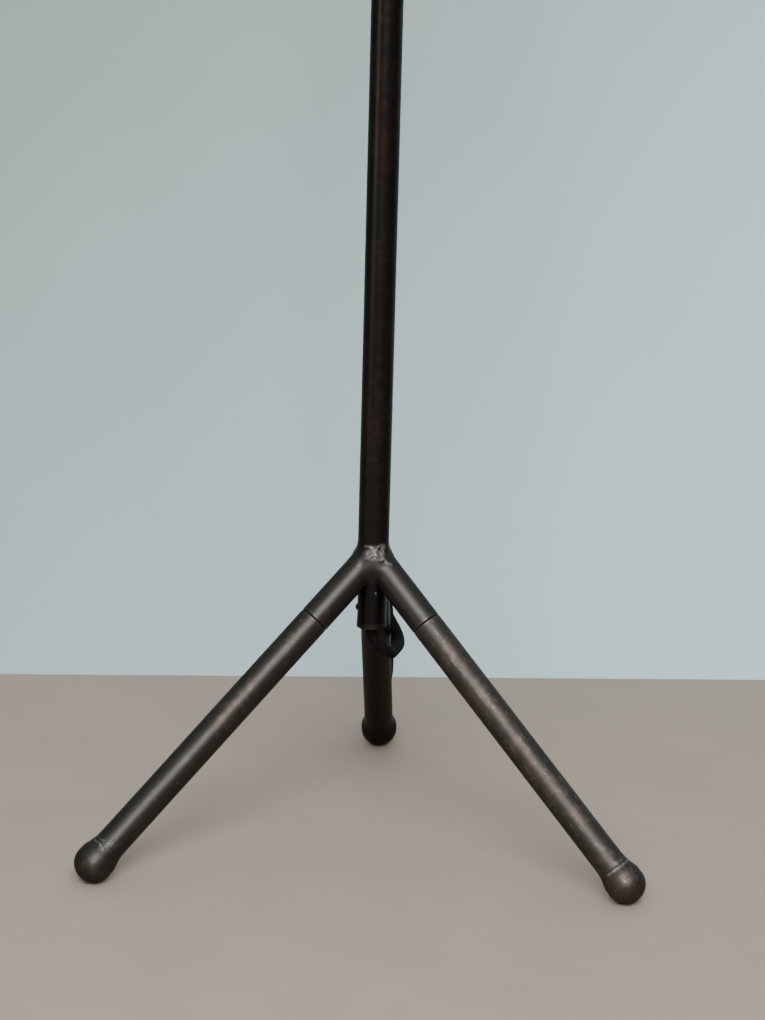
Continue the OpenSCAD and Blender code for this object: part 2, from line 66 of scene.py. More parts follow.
MM = 0.001
UP = Vector((0, 0, 1))
SIDES = ("left", "right", "rear")
JOINTS = {joint["name"]: joint for joint in frame["record"]["behaviour"]["joints"]}
HUB = Vector(JOINTS["leg_left_thread"]["pos_m"])
LEG_AXIS = {side: Vector(JOINTS[f"leg_{side}_thread"]["axis"]) for side in SIDES}


def width(node):
    """A node's width along X."""
    low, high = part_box(node)
    return high.x - low.x


TUBE_R = width("pole") / 2
BALL_R = (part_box("foot_ball_left")[1].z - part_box("foot_ball_left")[0].z) / 2
POLE_FOOT = HUB.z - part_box("pole")[0].z
# Where each ball's centre lies along its leg, from the hub's centre
LEG_L = (HUB.z - BALL_R) / -LEG_AXIS["left"].z
# Where each leg's seam lies along the leg, from the hub's centre
SEAM = 54.15 * MM
COLLAR_R = width("cord_collar") / 2
MOUTH = Vector((0, 0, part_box("collar_lip")[0].z))

# How the patina has worn and how it is lit: its shade, and how brown, how rubbed and how matt it
# is. The legs' shade and brown are partly painted light: the rear leg's shade is halved and its
# brown raised as painted shade and a painted reflection of a dark floor, and the left and right
# legs' shades are raised as painted highlight
STUB_LOOK = (1.0, 0.2, 0.25, 0.41)
LEG_LOOK = {"left": (1.1, 0.3, 0.6, 0.43), "right": (1.2, 0.7, 1.4, 0.47),
            "rear": (0.5, 1.3, 0.5, 0.4)}

# The flex from the collar's mouth to the coil, in metres
ROUTE = [
    (0, 0, 0.1386), (0, 0, 0.1364), (0.0016, 0.0005, 0.131), (0.0058, 0.0024, 0.1251),
    (0.0103, 0.0081, 0.1199), (0.0123, 0.0179, 0.1161), (0.0137, 0.031, 0.1141),
    (0.0149, 0.0454, 0.1117), (0.0156, 0.0594, 0.1093), (0.0152, 0.0718, 0.1091),
    (0.0131, 0.0815, 0.1115), (0.0098, 0.0875, 0.1155), (0.0062, 0.091, 0.1215),
    (0.0029, 0.0934, 0.1288), (0.0005, 0.0965, 0.1357), (-0.001, 0.101, 0.1411),
    (-0.0013, 0.1072, 0.1441), (-0.0008, 0.1142, 0.1441), (0.0003, 0.1208, 0.1408),
    (0.002, 0.1261, 0.1341), (0.0038, 0.1299, 0.1245), (0.0053, 0.1321, 0.1129),
    (0.0063, 0.1329, 0.1002), (0.0065, 0.1325, 0.087), (0.0065, 0.139, 0.075),
    (0.006, 0.149, 0.062), (0.004, 0.162, 0.049), (0.0015, 0.177, 0.037), (0, 0.19, 0.027),
    (-0.001, 0.2, 0.018), (-0.002, 0.209, 0.01), (-0.003, 0.22, 0.005), (-0.004, 0.233, 0.0035),
    (-0.005, 0.25, 0.0035), (-0.0055, 0.275, 0.0035), (-0.0065, 0.305, 0.0035),
    (-0.007, 0.34, 0.0035), (-0.007, 0.366, 0.0037)]
# The flex from the coil to the plug's inside
TAIL = [(0.06, 0.4335, 0.0112), (0.07, 0.4333, 0.0111), (0.08, 0.4322, 0.011),
        (0.09, 0.431, 0.011), (0.101, 0.431, 0.011)]
FLEX_D = 0.007
# The coil's centre, its outer radius at the flex's middle, its turns and their columns
COIL_CENTRE = Vector((0.0365, 0.39, 0))
COIL_R = 0.0435
COIL_TURNS = 5.25
COIL_COLUMNS = 3


# ---- Sizes that a user may change

class SteelSettings(bpy.types.PropertyGroup):
    dark: FloatVectorProperty(
        name="Patina", description="Colour of the waxed patina", subtype="COLOR",
        default=(0.044, 0.041, 0.0375), min=0, max=1)
    brown: FloatVectorProperty(
        name="Brown bloom", description="Colour of the brown clouds in the patina",
        subtype="COLOR", default=(0.062, 0.05, 0.044), min=0, max=1)
    bare: FloatVectorProperty(
        name="Rubbed steel", description="Colour where the patina is rubbed through",
        subtype="COLOR", default=(0.11, 0.104, 0.098), min=0, max=1)
    edge: FloatVectorProperty(
        name="Edge tint", description="Tint of the wax at a flat angle", subtype="COLOR",
        default=(0.6, 0.62, 0.62), min=0, max=1)


class BrazeSettings(bpy.types.PropertyGroup):
    grain: FloatProperty(
        name="Grain", description="Size of the cells that the braze is shaped with",
        default=0.45 * MM, min=0.3 * MM, max=1 * MM, unit="LENGTH")
    hub_fillet: FloatProperty(
        name="Hub fillet", description="How softly the hub's tubes flow into each other",
        default=1.15 * MM, min=0.5 * MM, max=3 * MM, unit="LENGTH")
    gap_fillet: FloatProperty(
        name="Gap fillet", description="How softly they flow in the gaps between two legs",
        default=2.7 * MM, min=0.5 * MM, max=4 * MM, unit="LENGTH")
    foot_fillet: FloatProperty(
        name="Foot fillet", description="How softly each leg flows into its ball",
        default=2.2 * MM, min=0.5 * MM, max=4 * MM, unit="LENGTH")
    ridge: FloatProperty(
        name="Ridges", description="Height of the runs of braze", default=0.45 * MM, min=0,
        max=1.5 * MM, unit="LENGTH")
    lump: FloatProperty(
        name="Lumps", description="Height of the lumps around the runs", default=0.22 * MM,
        min=0, max=1 * MM, unit="LENGTH")
    # The braze's brushed colour, which also paints highlights and glints where the braze attribute
    # is high
    colour: FloatVectorProperty(
        name="Braze", description="Colour of the braze where it is brushed bright",
        subtype="COLOR", default=(0.24, 0.232, 0.224), min=0, max=1)


class FlexSettings(bpy.types.PropertyGroup):
    sides: IntProperty(
        name="Sides", description="Number of sides of the flex's tube", default=20, min=8, max=32)
    strands: IntProperty(
        name="Strands", description="Number of strands around the braided sheath", default=16,
        min=8, max=32)
    colour: FloatVectorProperty(
        name="Sheath", description="Colour of the textile sheath", subtype="COLOR",
        default=(0.004, 0.0035, 0.0033), min=0, max=1)


class StageSettings(bpy.types.PropertyGroup):
    floor: FloatVectorProperty(
        name="Floor", description="Colour of the floor", subtype="COLOR",
        default=(0.34, 0.288, 0.243), min=0, max=1)
    # The wall's two colours paint a fall of light across it: painted light, lighter low down on
    # the right
    wall: FloatVectorProperty(
        name="Wall", description="Colour of the wall, high up on the left", subtype="COLOR",
        default=(0.246, 0.303, 0.286), min=0, max=1)
    wall_low: FloatVectorProperty(
        name="Wall, low", description="Colour of the wall, low down on the right",
        subtype="COLOR", default=(0.59, 0.825, 0.895), min=0, max=1)
    key: FloatProperty(
        name="Key light", description="Power of the key light in watts", default=60, min=0,
        max=200)


# ---- Shader maths

class Wire:
    """A shader socket that takes part in Python expressions, which add the nodes."""

    def __init__(self, tree, out):
        self.tree = tree
        self.out = out

    def maths(self, operation, *values):
        """A Math node, or a Vector Math node where one of the values is a vector."""
        vector = any(isinstance(v, Wire) and v.out.type == "VECTOR" for v in values)
        kind = "ShaderNodeVectorMath" if vector else "ShaderNodeMath"
        if vector and operation == "MULTIPLY":
            values = [v if isinstance(v, (Wire, Vector)) else Vector((v, v, v)) for v in values]
        return add(self.tree, kind, {"operation": operation}, dict(enumerate(values)))

    def __add__(self, other):
        return self.maths("ADD", self, other)

    def __sub__(self, other):
        return self.maths("SUBTRACT", self, other)

    def __rsub__(self, other):
        return self.maths("SUBTRACT", other, self)

    def __mul__(self, other):
        return self.maths("MULTIPLY", self, other)

    __radd__ = __add__
    __rmul__ = __mul__

    def __truediv__(self, other):
        return self.maths("DIVIDE", self, other)

    def __abs__(self):
        return self.maths("ABSOLUTE", self)

    def dot(self, direction):
        """The scalar product with a fixed direction."""
        return add(self.tree, "ShaderNodeVectorMath", {"operation": "DOT_PRODUCT"},
                   {0: self, 1: direction}, "Value")

    def smooth(self, low, high):
        """0 below low, 1 above high, and a smooth step between. low may be above high."""
        return add(self.tree, "ShaderNodeMapRange", {"interpolation_type": "SMOOTHSTEP"},
                   {"Value": self, "From Min": low, "From Max": high})

    def most(self, other):
        """The larger of the two."""
        return self.maths("MAXIMUM", self, other)

    def noise(self, size, detail=3.0, roughness=0.55):
        """Noise on this place, with clouds of about that size."""
        return add(self.tree, "ShaderNodeTexNoise", {},
                   {"Vector": self, "Scale": 1 / size, "Detail": detail, "Roughness": roughness})

    def blend(self, first, second):
        """A colour between two, by this factor."""
        return add(self.tree, "ShaderNodeMix", {"data_type": "RGBA", "clamp_factor": True},
                   {0: self, 6: first, 7: second}, 2)


def add(tree, kind, settings, sockets, out=0):
    """Adds a node, sets its settings first and then its sockets, and returns one output."""
    node = tree.nodes.new(kind)
    for name, value in settings.items():
        setattr(node, name, value)
    for name, value in sockets.items():
        if isinstance(value, Wire):
            tree.links.new(value.out, node.inputs[name])
        else:
            node.inputs[name].default_value = value
    return Wire(tree, node.outputs[out])


def rgba(colour, times=1.0):
    """A colour as a socket takes it, made lighter or darker."""
    return (*(min(1.0, channel * times) for channel in colour), 1)


def material(name):
    """A new material with its tree, its shader and its place in millimetres."""
    new = bpy.data.materials.new(name)
    new.use_nodes = True
    tree = new.node_tree
    place = add(tree, "ShaderNodeTexCoord", {}, {}, "Object") * 1000
    return new, tree, tree.nodes["Principled BSDF"], place


def wire_up(tree, shader, colour, roughness, metallic=0.0, height=None, depth=0, strength=0):
    """Sets or links a shader's colour, roughness and metal. Height goes through a bump node."""
    for name, value in (("Base Color", colour), ("Roughness", roughness), ("Metallic", metallic)):
        if isinstance(value, Wire):
            tree.links.new(value.out, shader.inputs[name])
        else:
            shader.inputs[name].default_value = value
    if height is not None:
        bump = add(tree, "ShaderNodeBump", {},
                   {"Height": height, "Distance": depth, "Strength": strength})
        tree.links.new(bump.out, shader.inputs["Normal"])


def patina(name, axis, seams=(), shade=1.0, brown=0.5, speckle=0.5, matt=0.38, braze=False,
           upper=None):
    """Waxed patina on steel: dark and brown clouds, fine draw lines along the axis, and rubbed
    specks. seams are distances along the axis from the hub's centre, whose edges are rubbed.
    braze brightens the piece by its own attribute of that name: brushed braze, partly painted
    highlight and glint. upper is the shade above the hub, if it is another one: painted shade that
    darkens the hub's skin to the pole's darkened patina and dims the highlight in its fillet."""
    look = bpy.context.scene.lamp_steel
    new, tree, shader, place = material(name)
    local = place - HUB / MM
    along = local.dot(axis)
    across = local - add(tree, "ShaderNodeVectorMath", {"operation": "SCALE"},
                         {0: axis, "Scale": along * 0.93})
    clouds = local.noise(16, 3)
    mottle = local.noise(4, 4, 0.6)
    lines = across.noise(1.3, 3)
    grit = local.noise(0.9, 3, 0.6)
    bloom = (clouds * 0.7 + mottle * 0.3).smooth(0.64 - 0.3 * brown, 0.72 - 0.2 * brown)
    specks = (mottle * 0.5 + lines * 0.5).smooth(0.52, 0.68) * grit.smooth(0.4, 0.62)
    worn = specks * speckle
    for seam in seams:
        edge = abs(along - seam / MM) + (mottle - 0.5) * 3
        worn = worn.most(edge.smooth(2.2, 0.4) * 0.35)
    colour = bloom.blend(rgba(look.dark, shade), rgba(look.brown, shade))
    colour = worn.blend(colour, rgba(look.bare, shade))
    # Painted shade: above the hub the colour darkens to the upper shade
    if upper:
        colour = along.smooth(2, 8).blend(colour, rgba(look.dark, upper))
    roughness = matt - 0.04 + mottle * 0.1 + grit * 0.05 - worn * 0.05
    height = lines * 0.4 + mottle * 0.6 + grit * 0.35
    # Brushed braze by the braze attribute, partly painted highlight and glint
    if braze:
        bright = add(tree, "ShaderNodeAttribute", {"attribute_name": "braze"}, {}, "Fac")
        brushed = rgba(bpy.context.scene.lamp_braze.colour)
        colour = (bright * (0.6 + grit * 0.6)).blend(colour, brushed)
        roughness = roughness + bright * 0.16
    wire_up(tree, shader, colour, roughness, 1.0, height, 0.1 * MM, 0.3)
    shader.inputs["Specular Tint"].default_value = rgba(look.edge)
    return new


def plain_metal(name, colour, roughness):
    """Turned or plated metal with fine grain and a little tarnish."""
    new, tree, shader, place = material(name)
    dull = place.noise(5, 4).smooth(0.45, 0.75)
    fine = place.noise(0.8, 3)
    wire_up(tree, shader, dull.blend(rgba(colour), rgba(colour, 0.55)),
            roughness + dull * 0.14 + fine * 0.08, 1.0, fine, 0.05 * MM, 0.4)
    return new


def moulded(name, colour, roughness, gloss=0.0):
    """Moulded plastic: faint mottling, a fine skin and, for bakelite, a gloss coat."""
    new, tree, shader, place = material(name)
    clouds = place.noise(8, 3)
    skin = place.noise(0.6, 2)
    wire_up(tree, shader, clouds.smooth(0.4, 0.7).blend(rgba(colour), rgba(colour, 1.6)),
            roughness + skin * 0.1 + clouds * 0.05, 0.0, skin, 0.04 * MM, 0.3)
    shader.inputs["Specular IOR Level"].default_value = 0.35
    shader.inputs["Coat Weight"].default_value = gloss
    shader.inputs["Coat Roughness"].default_value = 0.15
    return new


def braided(name, colour, strands, pitch, length):
    """A braided sheath: strands that cross over and under along the piece's own UV map. Pitch
    is how far a strand runs along the piece for each turn around it."""
    new, tree, shader, place = material(name)
    uv = add(tree, "ShaderNodeUVMap", {"uv_map": "UVMap"}, {})
    around = uv.dot(Vector((0, strands / 2, 0)))
    along = uv.dot(Vector((length / pitch, 0, 0)))
    left = around + along
    right = along - around
    fold = {"operation": "PINGPONG"}
    over = add(tree, "ShaderNodeMath", {"operation": "SINE"}, {0: left * (2 * math.pi)})
    under = add(tree, "ShaderNodeMath", {"operation": "SINE"}, {0: right * (2 * math.pi)})
    left_strand = add(tree, "ShaderNodeMath", fold, {0: left, 1: 0.5}) * 2
    right_strand = add(tree, "ShaderNodeMath", fold, {0: right, 1: 0.5}) * 2
    on_top = (over * under).smooth(-0.3, 0.3)
    weave = left_strand * on_top + right_strand * (1 - on_top)
    fuzz = place.noise(0.25, 3)
    worn = place.noise(14, 3).smooth(0.4, 0.75)
    # Painted shade: the tone follows the strands' height, darker between the strands and lighter
    # on their crests, with fuzz and worn patches
    tone = (weave * 0.6 + fuzz * 0.3 + worn * 0.25).smooth(0.3, 1.05)
    wire_up(tree, shader, tone.blend(rgba(colour), rgba(colour, 2.8)), 0.8 + fuzz * 0.2, 0.0,
            weave * 0.8 + fuzz * 0.3, 0.25 * MM, 0.8)
    shader.inputs["Specular IOR Level"].default_value = 0.08
    return new


# ---- Shared modelling

def link(name, mesh, body, slot, finish, *nodes):
    """Makes a piece of a finished mesh, on a body and with a finish, in place of CAD nodes."""
    piece = bpy.data.objects.new(name, mesh)
    bpy.context.scene.collection.objects.link(piece)
    mesh.materials.clear()
    mesh.materials.append(finish)
    for face in mesh.polygons:
        face.use_smooth = True
    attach(piece, body)
    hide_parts(*nodes)
    return piece


def mesh_of(name, bm):
    """Turns a bmesh into a mesh with outward faces."""
    bmesh.ops.recalc_face_normals(bm, faces=bm.faces)
    mesh = bpy.data.meshes.new(name)
    bm.to_mesh(mesh)
    bm.free()
    return mesh


def modified(shape, *modifiers):
    """A mesh of a mesh or a curve, with modifiers applied. Each is its type and settings."""
    holder = bpy.data.objects.new("modifier_holder", shape)
    bpy.context.scene.collection.objects.link(holder)
    for kind, settings in modifiers:
        new = holder.modifiers.new(kind, kind)
        for name, value in settings.items():
            setattr(new, name, value)
    graph = bpy.context.evaluated_depsgraph_get()
    result = bpy.data.meshes.new_from_object(holder.evaluated_get(graph))
    bpy.data.objects.remove(holder)
    return result


def turned(outline, steps):
    """A bmesh of an outline of (radius, height) points, spun about Z and closed."""
    bm = bmesh.new()
    points = [bm.verts.new((radius, 0, height)) for radius, height in outline]
    edges = [bm.edges.new(pair) for pair in zip(points, points[1:])]
    if outline[0][0] > 0 and outline[-1][0] > 0:
        edges.append(bm.edges.new((points[-1], points[0])))
    bmesh.ops.spin(bm, geom=points + edges, axis=UP, cent=(0, 0, 0), dvec=(0, 0, 0),
                   angle=2 * math.pi, steps=steps, use_merge=True)
    bmesh.ops.remove_doubles(bm, verts=bm.verts, dist=1e-6)
    return bm


def drawn_out(bm, faces, way):
    """Extrudes faces and moves the new ones by a vector."""
    made = bmesh.ops.extrude_face_region(bm, geom=faces)["geom"]
    bmesh.ops.translate(bm, verts=[v for v in made if isinstance(v, bmesh.types.BMVert)], vec=way)


def arc(x, y, radius, first, steps):
    """Points on a quarter of a circle around (x, y), from a first angle in degrees."""
    angles = [math.radians(first + 90 * step / steps) for step in range(steps + 1)]
    return [(x + radius * math.cos(angle), y + radius * math.sin(angle)) for angle in angles]


def along_axis(origin, axis):
    """The matrix that takes +Z to an axis through a point."""
    return Matrix.Translation(origin) @ axis.to_track_quat("Z", "Y").to_matrix().to_4x4()


def rod(bm, origin, axis, start, end, radius, sides=48):
    """A closed round rod along an axis, between two distances from a point."""
    centre = origin + axis * (start + end) / 2
    bmesh.ops.create_cone(bm, cap_ends=True, segments=sides, radius1=radius, radius2=radius,
                          depth=end - start, matrix=along_axis(centre, axis))


def ease(value, low, high):
    """0 at low, 1 at high and smooth between, for a number or an array. low may be above
    high."""
    t = np.clip((value - low) / (high - low), 0, 1)
    return t * t * (3 - 2 * t)


def vectors(items, name):
    """One vector of each item, as the rows of an array."""
    values = np.empty(len(items) * 3)
    items.foreach_get(name, values)
    return values.reshape(-1, 3)


def put_points(mesh, places):
    """Puts a mesh's points at new places."""
    mesh.vertices.foreach_set("co", places.ravel())
    mesh.update()


def polar(places):
    """How far each place lies from the Z axis, and how far round it in radians."""
    return np.hypot(places[:, 0], places[:, 1]), np.arctan2(places[:, 1], places[:, 0])


def noise_at(places, size, seed=0.0):
    """Noise between about -1 and 1 at each place, with lumps of about that size."""
    shift = Vector((seed, 1.7 * seed, -seed))
    return np.array([noise.fractal(Vector(place) / size + shift, 1.0, 2.0, 3) for place in places])


def move_out(mesh, heights):
    """Moves each point of a mesh outwards by its height."""
    outward = vectors(mesh.vertex_normals, "vector")
    put_points(mesh, vectors(mesh.vertices, "co") + outward * heights[:, None])


def mark(mesh, name, values):
    """Writes a number at each point of a mesh, for a material to read."""
    layer = mesh.attributes.new(name, "FLOAT", "POINT")
    layer.data.foreach_set("value", values.astype(np.float32))


def cover(nodes, finish):
    """Puts one finish on CAD nodes that keep their shape."""
    for node in nodes:
        mesh = frame["nodes"][node].data
        mesh.materials.clear()
        mesh.materials.append(finish)


# ---- Shapes that flow together

def tube_depth(places, origin, axis, start, end, radius):
    """How far each place lies outside a closed rod along an axis."""
    offset = places - np.array(origin)
    along = offset @ np.array(axis)
    away = np.linalg.norm(offset - along[:, None] * np.array(axis), axis=1) - radius
    return np.maximum(away, np.maximum(start - along, along - end))


def flowing(depths, fillet):
    """One depth for shapes that flow into each other over a fillet."""
    return -fillet * np.log(sum(np.exp(-depth / fillet) for depth in depths))


def settled(name, bm, depth):
    """A fine mesh of a bmesh's shapes, joined and settled onto the surface where a depth is
    nought, and its points' places. The least slope keeps a point from jumping away where the
    depth hardly changes."""
    grain = bpy.context.scene.lamp_braze.grain
    mesh = modified(mesh_of(name, bm), ("REMESH", {"mode": "VOXEL", "voxel_size": grain}))
    places = vectors(mesh.vertices, "co")
    passes, nudge, least_slope = 5, 0.02 * MM, 0.4
    for _ in range(passes):
        here = depth(places)
        slope = np.stack([depth(places + nudge * way) - here for way in np.eye(3)], 1) / nudge
        steep = np.maximum((slope ** 2).sum(1), least_slope)
        places = places - slope * (here / steep)[:, None]
    put_points(mesh, places)
    return mesh, vectors(mesh.vertices, "co")


def line_distance(points, line):
    """How far each 2D point lies from a line through a few others, in millimetres."""
    nearest = np.full(len(points), np.inf)
    for first, last in zip(line, line[1:]):
        first = np.array(first, float)
        run = np.array(last, float) - first
        part = np.clip((points - first) @ run / (run @ run), 0, 1)
        nearest = np.minimum(nearest, np.linalg.norm(points - first - part[:, None] * run, axis=1))
    return nearest


# ---- The camera and the stage

class LAMP_OT_stage(bpy.types.Operator):
    """Places the camera, the floor, the wall and the lights"""
    bl_idname = "lamp.stage"
    bl_label = "Stage"

    # The camera's place, its focal length in mm, and its turn, pitch and roll in degrees
    camera_place = (0.06925, -1.79867, 0.6728)
    focal_length = 107.75
    angles = (2.046, 14.351, 1.518)
    # The wall's middle, its turn in degrees, and half its width and height
    wall_place = (0, 0.337, 1.0)
    wall_turn = 5.6
    wall_half = (1.6, 1.0)
    # How far from the lamp the floor starts to glow, and glows fully
    glow_start, glow_end = 0.9, 3.6

    def execute(self, context):
        look = context.scene.lamp_stage
        turn, pitch, roll = (math.radians(angle) for angle in self.angles)
        forward = Vector((-math.sin(turn) * math.cos(pitch), math.cos(turn) * math.cos(pitch),
                          -math.sin(pitch)))
        level = Vector((math.cos(turn), math.sin(turn), 0))
        upward = level.cross(forward)
        right = level * math.cos(roll) + upward * math.sin(roll)
        upward = upward * math.cos(roll) - level * math.sin(roll)
        lens = bpy.data.cameras.new("camera")
        lens.lens = self.focal_length
        lens.sensor_width = 36
        lens.clip_start = 0.05
        camera = bpy.data.objects.new("camera", lens)
        context.scene.collection.objects.link(camera)
        camera.matrix_world = Matrix.Translation(self.camera_place) @ Matrix(
            (right, upward, -forward)).transposed().to_4x4()
        context.scene.camera = camera
        self.floor(look)
        self.wall(look)
        self.lights(context, look)
        return {"FINISHED"}

    def floor(self, look):
        """A pale floor, whose far part glows to stay as pale as the part under the lights."""
        paint, tree, shader, place = material("floor_paint")
        tint = place.noise(90, 3).smooth(0.3, 0.7).blend(rgba(look.floor), rgba(look.floor, 0.94))
        wire_up(tree, shader, tint, 0.62 + place.noise(3, 3) * 0.12, 0.0, place.noise(1.2, 3),
                0.2 * MM, 0.15)
        away = add(tree, "ShaderNodeVectorMath", {"operation": "LENGTH"}, {0: place}, "Value")
        glow = (away / 1000).smooth(self.glow_start, self.glow_end)
        glow = glow.blend(rgba((0, 0, 0)), rgba(look.floor, 0.75))
        tree.links.new(glow.out, shader.inputs["Emission Color"])
        shader.inputs["Emission Strength"].default_value = 1
        self.stage_piece("floor", paint, 30, Matrix.Translation((0, 0, -0.2 * MM)))

    def wall(self, look):
        """A wall that is clear from behind, and neither shades nor tints the floor. Its paint is
        painted light: lighter towards the bottom right, as a fall of light across it.
        """
        paint, tree, shader, place = material("wall_paint")
        # Painted light: the wall's colour grows lighter towards the bottom right
        painted_falloff = place.dot(Vector((0.6, 0, -0.75))) / 1000 + place.noise(300, 2) * 0.1
        tint = painted_falloff.smooth(-0.7, 0.35).blend(rgba(look.wall), rgba(look.wall_low))
        wire_up(tree, shader, tint, 0.9)
        facing = add(tree, "ShaderNodeNewGeometry", {}, {}, "Backfacing")
        clear = add(tree, "ShaderNodeBsdfTransparent", {}, {})
        mixed = add(tree, "ShaderNodeMixShader", {},
                    {0: facing, 1: Wire(tree, shader.outputs[0]), 2: clear})
        tree.links.new(mixed.out, tree.nodes["Material Output"].inputs["Surface"])
        upright = Matrix.Translation(self.wall_place) @ Matrix.Rotation(
            math.radians(self.wall_turn), 4, "Z") @ Matrix.Rotation(math.radians(90), 4, "X")
        wall = self.stage_piece("wall", paint, 1, upright @
                                Matrix.Diagonal((*self.wall_half, 1, 1)))
        wall.visible_diffuse = False
        wall.visible_shadow = False

    def stage_piece(self, name, paint, half, matrix):
        """Makes a flat square piece of the stage, of half its width, and places it."""
        bm = bmesh.new()
        bmesh.ops.create_grid(bm, x_segments=1, y_segments=1, size=half, matrix=matrix)
        mesh = bpy.data.meshes.new(name)
        bm.to_mesh(mesh)
        bm.free()
        mesh.materials.append(paint)
        thing = bpy.data.objects.new(name, mesh)
        bpy.context.scene.collection.objects.link(thing)
        return thing

    def lights(self, context, look):
        """Soft square lights: each one's place, the height that it points at, its size, its
        share of the key light's power, and its colour."""
        warm, white = (1, 0.985, 0.965), (1, 1, 1)
        for name, spot, target, size, share, tint in (
                ("key", (-0.1, -2.16, 1.5), 0.1, 1.2, 1, warm),
                ("window", (0.45, -1.68, 1.75), 0.1, 1.0, 0.4, warm),
                ("side", (-1.9, -1.5, 0.35), 0.3, 0.8, 0.11, white),
                ("ceiling", (0, 0, 2.5), 0, 6.0, 1.4, white)):
            lamp = bpy.data.lights.new(name, "AREA")
            lamp.size = size
            lamp.energy = look.key * share
            lamp.color = tint
            holder = bpy.data.objects.new(name, lamp)
            context.scene.collection.objects.link(holder)
            aim = Vector((0, 0, target)) - Vector(spot)
            holder.matrix_world = Matrix.Translation(spot) @ aim.to_track_quat(
                "-Z", "Y").to_matrix().to_4x4()
        world = bpy.data.worlds.new("studio")
        world.use_nodes = True
        sky = world.node_tree.nodes["Background"].inputs
        sky["Color"].default_value = (0.82, 0.87, 0.9, 1)
        sky["Strength"].default_value = 0.12
        context.scene.world = world


# ---- The flex

def smooth_line(points, steps):
    """Points on a smooth curve through a list of points: a Catmull-Rom curve."""
    p = [Vector(point) for point in points]
    p = [2 * p[0] - p[1]] + p + [2 * p[-1] - p[-2]]
    line = []
    for a, b, c, d in zip(p, p[1:], p[2:], p[3:]):
        for step in range(steps):
            t = step / steps
            line.append(0.5 * (2 * b + (c - a) * t + (2 * a - 5 * b + 4 * c - d) * t * t
                               + (3 * b - a - 3 * c + d) * t ** 3))
    return line + [p[-2]]


def coil_line(steps_a_turn=72):
    """The coil's turns: inwards on the table, up a layer, then outwards on top."""
    # The part of a turn before its end in which it shifts by a column, or climbs a layer
    shift_start, shift_end, climb = 0.24, 0.11, 0.12
    # How far the turns, and the first one's start, lie above the table
    lift, first_lift = 0.8 * MM, 0.2 * MM
    line = []
    for step in range(round(COIL_TURNS * steps_a_turn) + 1):
        turns = step / steps_a_turn
        column = 0.0
        for turn in range(1, 2 * COIL_COLUMNS):
            inward = 1 if turn < COIL_COLUMNS else 0 if turn == COIL_COLUMNS else -1
            column += inward * ease(turns, turn - shift_start, turn - shift_end)
        up = ease(turns, COIL_COLUMNS - climb, COIL_COLUMNS)
        angle = math.pi - 2 * math.pi * turns
        radius = COIL_R - FLEX_D * column
        height = lift + FLEX_D / 2 - (lift - first_lift) * ease(turns, climb, 0)
        line.append(COIL_CENTRE + Vector((radius * math.cos(angle), radius * math.sin(angle),
                                          height + FLEX_D * up)))
    return line


class LAMP_OT_flex(bpy.types.Operator):
    """Lays the textile flex from the collar to the plug, with its coil and its tie"""
    bl_idname = "lamp.flex"
    bl_label = "Flex"

    def execute(self, context):
        look = context.scene.lamp_flex
        line = smooth_line(ROUTE, 4) + coil_line()[1:] + smooth_line(TAIL, 4)
        for place in line:
            place.z = max(place.z, FLEX_D / 2)
        curve = bpy.data.curves.new("flex", "CURVE")
        curve.dimensions = "3D"
        curve.bevel_depth = FLEX_D / 2
        curve.bevel_resolution = look.sides // 2 - 2
        curve.use_fill_caps = True
        spline = curve.splines.new("POLY")
        spline.points.add(len(line) - 1)
        for point, place in zip(spline.points, line):
            point.co = (*place, 1)
        length = sum((b - a).length for a, b in zip(line, line[1:]))
        finish = braided("textile_sheath", look.colour, look.strands, 5.2 * MM, length)
        flex = link("flex", modified(curve), "stand", "flex_fabric", finish, "cord",
                    "cord_coil", "cord_tail")
        tie = self.tie()
        return {"FINISHED"}

    def tie(self):
        """A band of hook tape around the coil's turns."""
        tape_w, tape_t, strips = 9 * MM, 0.7 * MM, 6
        middle = COIL_R - FLEX_D * (COIL_COLUMNS - 1) / 2
        half_w = FLEX_D * COIL_COLUMNS / 2 + 0.25 * MM
        corner = 2.6 * MM
        low = corner + 0.4 * MM
        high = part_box("cord_tie")[1].z - tape_t - corner
        loop = []
        for side, height, first in ((1, high, 0), (-1, high, 90), (-1, low, 180), (1, low, 270)):
            loop += arc(side * (half_w - corner), height, corner, first, 4)
        bm = bmesh.new()
        points = [bm.verts.new((x, -tape_w / 2, z)) for x, z in loop]
        edges = [bm.edges.new((points[i - 1], points[i])) for i in range(len(points))]
        for _ in range(strips):
            made = bmesh.ops.extrude_edge_only(bm, edges=edges)["geom"]
            edges = [e for e in made if isinstance(e, bmesh.types.BMEdge)]
            moved = [v for v in made if isinstance(v, bmesh.types.BMVert)]
            bmesh.ops.translate(bm, verts=moved, vec=(0, tape_w / strips, 0))
        bmesh.ops.transform(bm, verts=bm.verts, matrix=Matrix.Translation(COIL_CENTRE) @
                            Matrix.Rotation(math.radians(40), 4, "Z") @
                            Matrix.Translation((middle, 0, 0)))
        mesh = modified(mesh_of("tie", bm), ("SOLIDIFY", {"thickness": tape_t, "offset": 0}),
                        ("SUBSURF", {"levels": 1, "render_levels": 1}))
        new, tree, shader, place = material("hook_tape")
        loops = place.noise(0.5, 3)
        tint = loops.smooth(0.35, 0.65).blend(rgba([0.012] * 3), rgba([0.045] * 3))
        wire_up(tree, shader, tint, 0.85 + loops * 0.1, 0.0, loops, 0.4 * MM, 0.9)
        return link("coil_tie", mesh, "stand", "flex_fabric", new, "cord_tie")


# ---- Steel and braze

